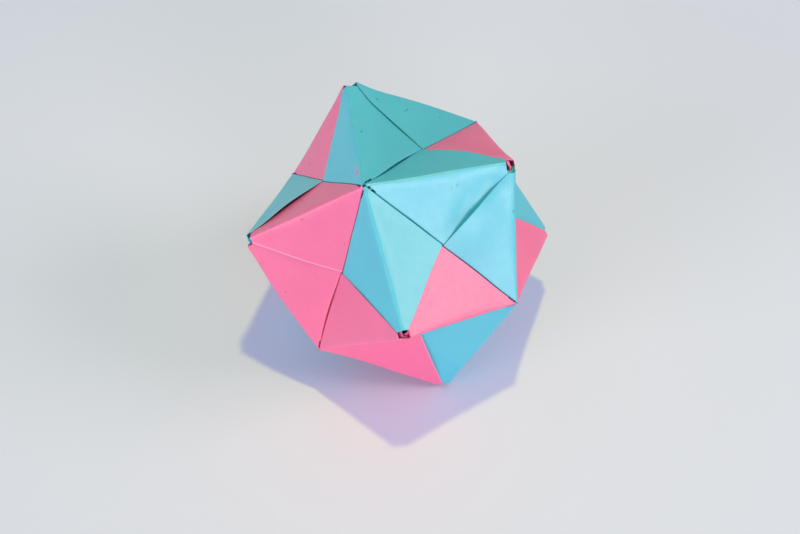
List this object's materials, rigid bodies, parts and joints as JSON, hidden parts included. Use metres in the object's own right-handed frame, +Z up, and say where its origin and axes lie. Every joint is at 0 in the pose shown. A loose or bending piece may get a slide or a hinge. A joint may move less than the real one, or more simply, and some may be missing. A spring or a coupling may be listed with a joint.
{
  "type": "kusudama paper ball",
  "caption": "Small modular paper ball of folded and interlocked sheets in cyan and pink, with square-cornered pyramids all round, used as a hand-made ornament or puzzle.",
  "frame": {"origin": "Centre of the bottom of the ball's box, on the floor it stands on.", "axes": "+Z is up. The ball stands on one octahedron corner and two pyramid tips. +X runs along the octahedron's level axis, which is the ball's longest extent, towards the right of the picture, and +Y points away from the camera."},
  "size_m": [0.0558, 0.05, 0.0499],
  "materials": {
    "cyan_paper": "matte",
    "pink_paper": "matte"
  },
  "bodies": {
    "root": {"cyan_sheet_1": "cyan_paper", "cyan_sheet_2": "cyan_paper", "cyan_sheet_3": "cyan_paper", "cyan_sheet_4": "cyan_paper", "cyan_sheet_5": "cyan_paper", "cyan_sheet_6": "cyan_paper", "pink_sheet_1": "pink_paper", "pink_sheet_2": "pink_paper", "pink_sheet_3": "pink_paper", "pink_sheet_4": "pink_paper", "pink_sheet_5": "pink_paper", "pink_sheet_6": "pink_paper"}
  },
  "joints": []
}
